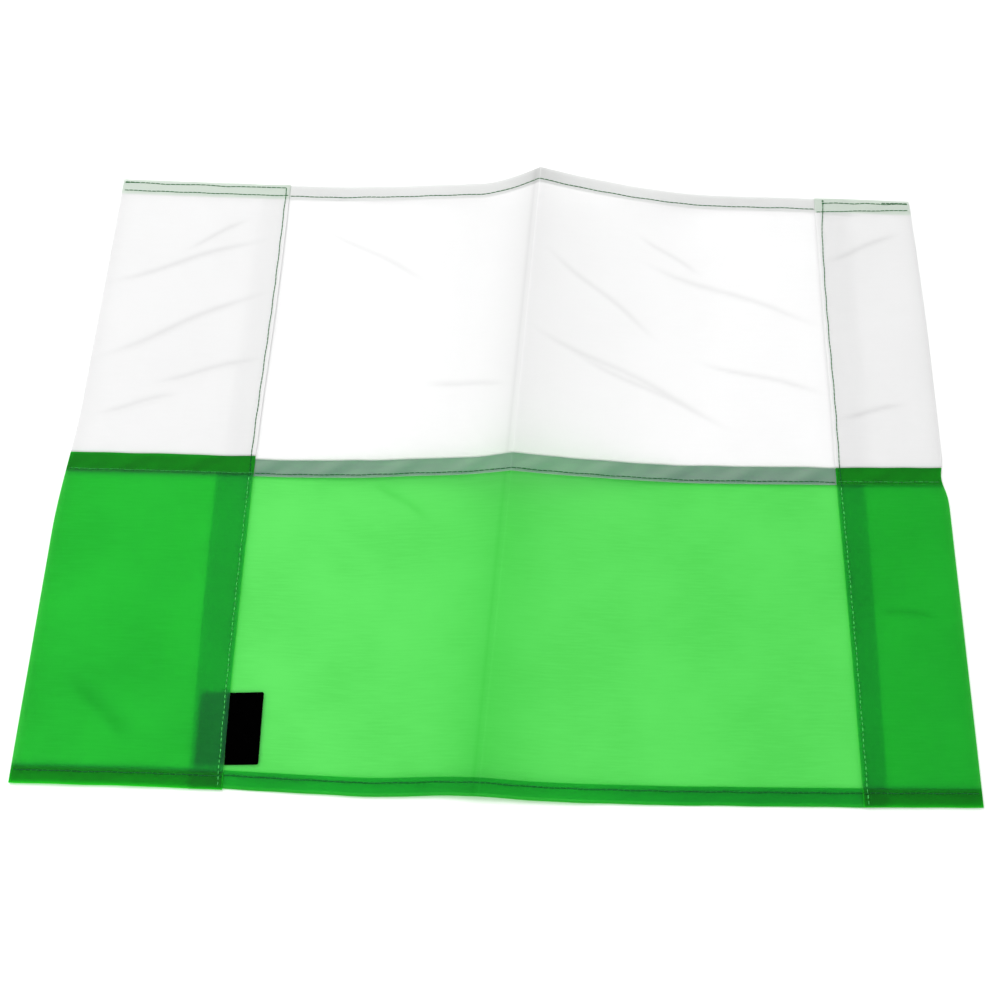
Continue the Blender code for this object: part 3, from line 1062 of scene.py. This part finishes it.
@dataclass
class LockStitcher:
    """Sews rows of lockstitch: one stitch is modelled and then copied along each row."""

    lay: Lay
    stack: LayerStack
    pitch: float = 2.7 * MM
    cover: float = 0.95
    radius: float = 0.23 * MM
    stitch: bpy.types.Object | None = None

    def model_stitch(self) -> None:
        """Models one stitch along x: a short length of thread whose ends dive into the cloth."""
        length = self.pitch * self.cover
        deselect()
        bpy.ops.mesh.primitive_cylinder_add(
            vertices=7, radius=self.radius, depth=length, rotation=(0.0, math.pi / 2, 0.0)
        )
        self.stitch = bpy.context.object
        self.stitch.name = "stitch_pattern"
        bpy.ops.object.transform_apply(location=False, rotation=True, scale=True)
        bpy.ops.object.mode_set(mode="EDIT")
        for share in (-0.36, -0.14, 0.14, 0.36):
            bpy.ops.mesh.select_all(action="SELECT")
            bpy.ops.mesh.bisect(plane_co=(share * length, 0.0, 0.0), plane_no=(1.0, 0.0, 0.0))
        bpy.ops.object.mode_set(mode="OBJECT")
        for end in (-1, 1):
            self.shape_end(end * length / 2, -0.8 * self.radius, 0.7)
            self.shape_end(end * 0.36 * length, -0.1 * self.radius, 0.95)
        select_only([self.stitch])
        bpy.ops.object.shade_smooth()
        deselect()

    def shape_end(self, at: float, drop: float, size: float) -> None:
        """Lowers and narrows the ring of the stitch at one place.

        Args:
            at: the ring's place along the stitch.
            drop: how far it moves up or down.
            size: its new thickness as a share of the old.
        """
        select_only([self.stitch])
        bpy.ops.object.mode_set(mode="EDIT")
        bpy.ops.mesh.select_mode(type="VERT")
        bpy.ops.mesh.select_all(action="DESELECT")
        bpy.ops.object.mode_set(mode="OBJECT")
        for vertex in self.stitch.data.vertices:
            vertex.select = abs(vertex.co.x - at) < 0.02 * MM
        bpy.ops.object.mode_set(mode="EDIT")
        bpy.ops.transform.resize(value=(1.0, size, size), center_override=(at, 0.0, 0.0))
        bpy.ops.transform.translate(value=(0.0, 0.0, drop))
        bpy.ops.object.mode_set(mode="OBJECT")

    def copy_stitch(self, start: Vector, end: Vector, up: float, lit: float) -> bpy.types.Object:
        """Copies the stitch between two points.

        Args:
            start: where the thread comes up.
            end: where it goes down.
            up: 1 for the face of the cloth, -1 for its back.
            lit: how much the thread catches the light.

        Returns:
            The copy, with its own mesh.
        """
        along = (end - start).normalized()
        side = Vector((0.0, 0.0, up)).cross(along).normalized()
        over = along.cross(side)
        turn = Matrix((along, side, over)).transposed().to_4x4()
        stretch = Matrix.Diagonal(((end - start).length / (self.pitch * self.cover), 1.0, 1.0, 1.0))
        copy = self.stitch.copy()
        copy.data = self.stitch.data.copy()
        mark = copy.data.attributes.new("lit", "FLOAT", "POINT")
        mark.data.foreach_set("value", [lit] * len(copy.data.vertices))
        copy.data.transform(Matrix.Translation((start + end) / 2) @ turn @ stretch)
        bpy.context.scene.collection.objects.link(copy)
        return copy

    def sew(
        self, line: list[tuple[float, float, float]], up: float = 1.0, shine: float = 0.0
    ) -> list[bpy.types.Object]:
        """Sews along a line on the flag.

        Args:
            line: corner points of x, y and height over the back.
            up: 1 for the face of the cloth, -1 for its back.
            shine: how much the stitches catch the light; those down a green sleeve edge always do.

        Returns:
            The stitches.
        """
        stitches = []
        for first, last in zip(line[:-1], line[1:]):
            run = math.hypot(last[0] - first[0], last[1] - first[1])
            count = max(1, round(run / self.pitch))
            downward = abs(last[1] - first[1]) > run / 2
            for number in range(count):
                ends = []
                height = first[1] + (last[1] - first[1]) * (number + 0.5) / count
                lit = max(shine, float(downward and height < self.lay.sizes.seam_bottom))
                cover = self.cover - 0.33 * lit
                lit = lit * (0.55 + 0.45 * math.sin(5.0 * number) ** 2)
                for part in (number + (1 - cover) / 2, number + (1 + cover) / 2):
                    share = part / count
                    x, y, lift = (a + (b - a) * share for a, b in zip(first, last))
                    sway = 0.12 * MM * math.sin(0.9 * (number + 3.1 * run)) * min(1.0, run / (20 * MM))
                    level = abs(last[0] - first[0]) > abs(last[1] - first[1])
                    x, y = (x, y + sway) if level else (x + sway, y)
                    lift = lift + up * 0.45 * self.radius
                    ends.append(Vector(self.lay.place(x, y, lift)))
                stitches.append(self.copy_stitch(ends[0], ends[1], up, lit))
        return stitches

    def finish(self) -> None:
        """Removes the stitch that the others were copied from."""
        mesh = self.stitch.data
        bpy.data.objects.remove(self.stitch)
        bpy.data.meshes.remove(mesh)


@dataclass(frozen=True)
class CrossRow:
    """A row across the whole flag, at height y of the flag and on cloth that is lift high in the middle.

    On the narrow sleeve it starts lower than it ends by askew; on the wide one it runs lower by drop. Shine
    is how much its stitches on the sleeves catch the light.
    """

    name: str
    y: float
    lift: float
    askew: float = 0.0
    drop: float = 0.0
    shine: float = 0.0


class Stitching:
    """All the rows of green thread: two hems, the seam, and the row that closes and holds each sleeve."""

    def __init__(self, lay: Lay, stack: LayerStack, material: bpy.types.Material) -> None:
        """Keeps what the rows are sewn with.

        Args:
            lay: how the flag lies.
            stack: how its layers lie on each other.
            material: the thread.
        """
        self.lay = lay
        self.stack = stack
        self.material = material
        self.stitcher = LockStitcher(lay, stack)
        self.fold_gap = 1.5 * MM
        self.edge_gap = 0.6 * MM
        self.narrow_stray = 2.6 * MM
        self.stray_route = ((1.0, 0.0), (0.25, 22 * MM), (0.0, 60 * MM))

    def sleeve_inner(self, side: Side) -> float:
        """Gives the x of a sleeve's stitched edge."""
        return side.value * self.lay.sizes.edge(side)

    def cross_row(self, row: CrossRow) -> bpy.types.Object:
        """Sews a row across the whole flag: over one sleeve, the middle, and the other sleeve.

        Args:
            row: where it runs.

        Returns:
            The row.
        """
        front = self.stack.front
        left, right = self.lay.sizes.left + self.fold_gap, self.lay.sizes.right - self.fold_gap
        wide, narrow = (self.sleeve_inner(side) for side in Side)
        over_wide = row.y + float(self.lay.front_slide(left, row.y)) - row.drop
        start, end = row.y - 0.7 * row.askew, row.y + 0.3 * row.askew
        crest = float(self.lay.sizes.crease_x(row.y))
        sleeves = [
            [(left, over_wide, front), (wide - self.edge_gap, over_wide - 0.4 * row.drop, front)],
            [(narrow + self.edge_gap, start, front), (right, end, front)],
        ]
        middle = (wide + self.edge_gap, crest, narrow - self.edge_gap)
        stitches = self.stitcher.sew([(x, row.y, row.lift) for x in middle])
        for line in sleeves:
            stitches += self.stitcher.sew(line, shine=row.shine)
        stitches += self.stitcher.sew([(x, row.y, 0.0) for x in (left, crest, right)], up=-1.0)
        return join(stitches, row.name)

    def sleeve_row(self, side: Side) -> bpy.types.Object:
        """Sews one sleeve: along its top, wavering by hand, then down its inner edge.

        Args:
            side: which sleeve.

        Returns:
            The row.
        """
        s = self.lay.sizes
        front = self.stack.front
        sign = side.value
        outer = sign * (s.outer(side) - 1.2 * MM)
        inner = sign * (s.edge(side) + s.sleeve_row_inset)
        corner = s.closing_row - 0.3 * MM
        stray = self.narrow_stray if side is Side.NARROW else 0.0
        tops = []
        for number, x in enumerate(np.linspace(outer, inner + stray, 9)):
            waver = 0.35 * MM * math.sin(2.1 * number) * (number % 8 != 0)
            tops.append((float(x), corner + waver - 0.5 * stray * number / 8, front))
        below = corner - 0.5 * stray
        down = [(inner + stray * share, below - drop, front) for share, drop in self.stray_route]
        lines = [tops, [*down, (inner, s.bottom + 0.8 * MM, front)]]
        tack = outer - sign * (8.5 if side is Side.WIDE else 15.0) * MM
        lines.append([(outer, corner + 0.45 * MM, front), (tack, corner + 0.3 * MM, front)])
        stitches = []
        for line in lines:
            stitches += self.stitcher.sew(line)
            stitches += self.stitcher.sew([(x, y, 0.0) for x, y, _ in line], up=-1.0)
        return join(stitches, "wide_sleeve_row" if side is Side.WIDE else "narrow_sleeve_row")

    def tail_points(self) -> list[Vector]:
        """Gives the route of the thread end that was left inside the narrow sleeve's top."""
        s = self.lay.sizes
        lift = self.stack.front - 1.2 * self.stitcher.radius
        start = s.narrow_edge + s.sleeve_row_inset
        route = []
        for share in np.linspace(0.0, 1.0, 12):
            x = start + 0.6 * MM + 18.0 * MM * share
            y = s.top_hem - 1.6 * MM + 0.4 * MM * math.sin(3.0 * share) - 0.6 * MM * share
            route.append(Vector(self.lay.place(x, y, lift)))
        return route

    def loose_end(self) -> bpy.types.Object:
        """Models the knot at the narrow sleeve's inner corner and the thread end that lies in the sleeve."""
        s = self.lay.sizes
        radius = self.stitcher.radius
        parts = []
        for number in range(2):
            x = s.narrow_edge + s.sleeve_row_inset + self.narrow_stray
            at = self.lay.place(x, s.closing_row - (0.1 + 1.7 * number) * MM, self.stack.front + 0.5 * radius)
            deselect()
            bpy.ops.mesh.primitive_torus_add(
                location=at,
                rotation=(0.5, 0.35 * (1 - 2 * number), 0.8 * number),
                major_radius=0.38 * MM,
                minor_radius=0.21 * MM,
                major_segments=14,
                minor_segments=7,
            )
            bpy.ops.object.transform_apply(location=True, rotation=True, scale=True)
            parts.append(bpy.context.object)
        points = self.tail_points()
        deselect()
        bpy.ops.mesh.primitive_circle_add(
            vertices=7,
            radius=1.1 * radius,
            fill_type="NGON",
            location=points[0],
            rotation=(0.0, math.pi / 2, 0.0),
        )
        bpy.ops.object.transform_apply(location=True, rotation=True, scale=True)
        tail = bpy.context.object
        bpy.ops.object.mode_set(mode="EDIT")
        bpy.ops.mesh.select_all(action="SELECT")
        for before, after in zip(points[:-1], points[1:]):
            bpy.ops.mesh.extrude_region_move(TRANSFORM_OT_translate={"value": after - before})
        bpy.ops.mesh.select_all(action="SELECT")
        bpy.ops.mesh.normals_make_consistent(inside=False)
        bpy.ops.object.mode_set(mode="OBJECT")
        parts.append(tail)
        piece = join(parts, "loose_thread_end")
        select_only([piece])
        bpy.ops.object.shade_smooth()
        deselect()
        return piece

    def build(self) -> dict[str, bpy.types.Object]:
        """Sews every row.

        Returns:
            The rows by name.
        """
        s = self.lay.sizes
        self.stitcher.model_stitch()
        rows = [
            self.cross_row(CrossRow("top_hem_row", s.top_row, self.stack.hem_top, askew=3.4 * MM)),
            self.cross_row(CrossRow("seam_row", s.seam_row, self.stack.seam_top, drop=1.3 * MM, shine=0.45)),
            self.cross_row(CrossRow("bottom_hem_row", s.bottom_row, self.stack.hem_top)),
            self.sleeve_row(Side.WIDE),
            self.sleeve_row(Side.NARROW),
        ]
        self.stitcher.finish()
        rows.append(self.loose_end())
        for row in rows:
            row.data.materials.clear()
            row.data.materials.append(self.material)
        return {row.name: row for row in rows}


# ---------------------------------------------------------------------------------------------------
# Label
# ---------------------------------------------------------------------------------------------------


@dataclass
class WovenLabel:
    """The blank woven label: its tail lies under the wide sleeve's stitched edge, the rest shows."""

    lay: Lay
    stack: LayerStack
    thickness: float = 0.16 * MM
    taller: float = 1.2 * MM
    shorter_tail: float = 1.5 * MM
    skew: float = 2.0 * MM
    corner: float = 0.9 * MM
    edge_width: float = 0.7 * MM
    columns: int = 24
    rows: int = 22

    def cut_size(self) -> tuple[float, float]:
        """Gives the width and height of the label before it is sewn in."""
        low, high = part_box("label_tail")[0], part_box("label_flap")[1]
        return high.x - low.x - self.shorter_tail, high.y - low.y + self.taller

    def build(self, material: bpy.types.Material) -> bpy.types.Object:
        """Models the label flat, rounds its corners, then lays it in place.

        Args:
            material: the label's finish.

        Returns:
            The label.
        """
        low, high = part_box("label_tail")[0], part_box("label_flap")[1]
        width, height = self.cut_size()
        middle = (high.x - width / 2, low.y + height / 2)
        deselect()
        bpy.ops.mesh.primitive_plane_add(size=1.0, location=(*middle, 0.0))
        label = bpy.context.object
        label.name = "woven_label"
        label.scale = (width, height, 1.0)
        bpy.ops.object.transform_apply(location=True, rotation=True, scale=True)
        bpy.ops.object.mode_set(mode="EDIT")
        bpy.ops.mesh.select_all(action="SELECT")
        bpy.ops.mesh.bevel(offset=self.corner, segments=3, affect="VERTICES")
        bpy.ops.mesh.select_all(action="SELECT")
        bpy.ops.mesh.inset(thickness=self.edge_width)
        self.slice_up(width, height, middle)
        bpy.ops.object.mode_set(mode="OBJECT")
        edge = label.data.attributes.new("edge", "FLOAT", "POINT")
        marks = []
        for vertex in label.data.vertices:
            across = width / 2 - abs(vertex.co.x - middle[0])
            up = height / 2 - abs(vertex.co.y - middle[1])
            marks.append(max(0.0, 1.0 - max(0.0, min(across, up)) / self.edge_width))
        edge.data.foreach_set("value", marks)
        tail = label.data.attributes.new("tail", "FLOAT", "POINT")
        hidden = self.lay.sizes.wide_edge - 1.0 * MM
        tail.data.foreach_set("value", [float(vertex.co.x < hidden) for vertex in label.data.vertices])
        self.lay_out(label, width, middle)
        wall = label.modifiers.new("label_thickness", "SOLIDIFY")
        wall.thickness = self.thickness
        wall.offset = 0.0
        apply_modifiers(label)
        label.data.materials.append(material)
        select_only([label])
        bpy.ops.object.shade_smooth_by_angle(angle=math.radians(40))
        deselect()
        return label

    def slice_up(self, width: float, height: float, middle: tuple[float, float]) -> None:
        """Cuts the flat label into a grid fine enough to bend."""
        for share in np.linspace(-0.5, 0.5, self.columns)[1:-1]:
            bpy.ops.mesh.select_all(action="SELECT")
            bpy.ops.mesh.bisect(plane_co=(middle[0] + share * width, 0.0, 0.0), plane_no=(1.0, 0.0, 0.0))
        for share in np.linspace(-0.5, 0.5, self.rows)[1:-1]:
            bpy.ops.mesh.select_all(action="SELECT")
            bpy.ops.mesh.bisect(plane_co=(0.0, middle[1] + share * height, 0.0), plane_no=(0.0, 1.0, 0.0))

    def lay_out(self, label: bpy.types.Object, width: float, middle: tuple[float, float]) -> None:
        """Moves the flat label to where it lies, a little askew and with its free edge just lifted.

        Args:
            label: the flat label.
            width: its width.
            middle: its middle.
        """
        for vertex in label.data.vertices:
            out = (vertex.co.x - middle[0]) / width + 0.5
            x = vertex.co.x
            y = vertex.co.y + self.skew * (out - 0.5)
            lift = 2.0 * self.stack.layer + 0.35 * MM * float(smooth(0.62, 1.0, out))
            vertex.co = Vector(self.lay.place(x, y, lift))


# ---------------------------------------------------------------------------------------------------
# The flag and its studio
# ---------------------------------------------------------------------------------------------------


def cloth_nodes(halved: tuple[str, ...], sleeved: tuple[str, ...]) -> list[str]:
    """Names the CAD nodes of one panel.

    Args:
        halved: what each half of the flag has of it.
        sleeved: what each sleeve has of it.

    Returns:
        The names of the nodes.
    """
    halves = [f"{part}_{half}" for part in halved for half in ("left", "right")]
    return halves + [f"{sleeve}_sleeve_{part}" for sleeve in ("wide", "narrow") for part in sleeved]


class CornerFlag:
    """Builds the flag's pieces in place of the frame's CAD nodes, and puts the sleeve rows and the thread end
    on the frame's halves.
    """

    def __init__(self) -> None:
        """Reads the sizes and settles how the flag lies."""
        self.sizes = FlagSizes.from_frame()
        self.lay = Lay(self.sizes, wrinkles=PACKING_WRINKLES)
        self.stack = LayerStack()
        self.bend = 3.5 * MM

    def across_crease(self, piece: bpy.types.Object) -> None:
        """Bakes a piece's place into its mesh, so that it sits at the origin."""
        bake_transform(piece)

    def build_cloth(self, panel: Panel, finish: NylonTaffeta, replaced: list[str]) -> bpy.types.Object:
        """Makes one panel and puts it in the place of its CAD nodes.

        Args:
            panel: which panel.
            finish: its cloth.
            replaced: the CAD nodes that it stands for.

        Returns:
            The panel.
        """
        cloth = ClothPanel(panel, self.lay, self.stack)
        piece = cloth.build()
        piece.data.materials.append(finish.material())
        self.across_crease(piece)
        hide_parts(*replaced)
        LOG.info("%s: cut %.0f by %.0f mm", piece.name, *(1000 * side for side in cloth.cut_size))
        return piece

    def build_stitching(self) -> None:
        """Sews the rows and puts them in the place of their CAD nodes."""
        rows = Stitching(self.lay, self.stack, GREEN_THREAD.material()).build()
        for name in ("top_hem", "seam", "bottom_hem"):
            row = rows[f"{name}_row"]
            self.across_crease(row)
            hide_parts(f"{name}_thread_left", f"{name}_thread_right")
        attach(rows["wide_sleeve_row"], Body.LEFT.value)
        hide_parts("wide_sleeve_thread")
        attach(rows["narrow_sleeve_row"], Body.RIGHT.value)
        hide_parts("narrow_sleeve_thread")
        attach(rows["loose_thread_end"], Body.RIGHT.value)
        for name, row in rows.items():
            LOG.info("%s: %d faces", name, len(row.data.polygons))

    def build_label(self) -> None:
        """Makes the label and puts it in the place of its CAD nodes."""
        pattern = WovenLabel(self.lay, self.stack)
        label = pattern.build(BLACK_SATIN.material())
        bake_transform(label)
        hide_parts("label_tail", "label_flap")
        pattern.cut_size()
        LOG.info("%s: %d faces", label.name, len(label.data.polygons))

    def build(self) -> None:
        """Builds the flag, piece by piece."""
        self.build_cloth(
            Panel.WHITE,
            WHITE_NYLON,
            cloth_nodes(("white_panel", "top_hem", "seam_fell"), ("white", "top_hem")),
        )
        self.build_cloth(
            Panel.GREEN,
            GREEN_NYLON,
            cloth_nodes(("green_panel", "bottom_hem"), ("green", "mouth_hem", "seam_fell")),
        )
        self.build_stitching()
        self.build_label()


@dataclass
class Studio:
    """A plain white floor under a soft white sky, with one large soft light from the upper left."""

    sky: float = 1.0
    light_power: float = 15.7
    light_size: float = 1.5
    light_place: tuple[float, float, float] = (-0.8, 0.6, 1.3)
    camera_place: tuple[float, float, float] = (0.0075, -0.3856, 0.7174)
    camera_target: tuple[float, float, float] = (-0.00548, 0.02717, -0.0886)
    camera_roll: float = math.radians(-0.19)
    lens: float = 57.48

    def aim(self, item: bpy.types.Object, target: tuple[float, float, float], roll: float) -> None:
        """Turns a light or camera towards a point.

        Args:
            item: the light or camera, already in its place.
            target: the point.
            roll: how far it then turns round its own line of sight.
        """
        turn = (Vector(target) - item.location).to_track_quat("-Z", "Y").to_matrix().to_4x4()
        item.rotation_euler = (turn @ Matrix.Rotation(roll, 4, "Z")).to_euler()

    def build_floor(self) -> None:
        """Lays the floor."""
        deselect()
        bpy.ops.mesh.primitive_plane_add(size=8.0, location=(0.0, 0.0, 0.0))
        floor = bpy.context.object
        floor.name = "floor"
        floor.data.materials.append(PaperFloor().material())

    def build_light(self) -> None:
        """Lights the scene with an even white sky and one soft light."""
        scene = bpy.context.scene
        scene.view_settings.view_transform = "Standard"
        world = bpy.data.worlds.new("white_sky")
        world.use_nodes = True
        sky = world.node_tree.nodes["Background"]
        sky.inputs["Color"].default_value = (1.0, 1.0, 1.0, 1.0)
        sky.inputs["Strength"].default_value = self.sky
        scene.world = world
        light = bpy.data.lights.new("soft_light", "AREA")
        light.size = self.light_size
        light.energy = self.light_power
        lamp = bpy.data.objects.new("soft_light", light)
        lamp.location = self.light_place
        scene.collection.objects.link(lamp)
        self.aim(lamp, (0.0, 0.0, 0.0), 0.0)

    def build_camera(self) -> None:
        """Looks at the flag from the front, well above it."""
        camera = bpy.data.objects.new("camera", bpy.data.cameras.new("camera"))
        camera.data.lens = self.lens
        camera.data.sensor_width = 36.0
        camera.data.clip_start = 0.01
        camera.location = self.camera_place
        bpy.context.scene.collection.objects.link(camera)
        self.aim(camera, self.camera_target, self.camera_roll)
        bpy.context.scene.camera = camera

    def build(self) -> None:
        """Builds the floor, the light and the camera."""
        self.build_floor()
        self.build_light()
        self.build_camera()
        LOG.info("studio: floor, light and camera")


def main() -> None:
    """Builds the studio and the flag."""
    logging.basicConfig(level=logging.INFO, format="%(name)s: %(message)s")
    Studio().build()
    CornerFlag().build()


if __name__ == "__main__":
    main()
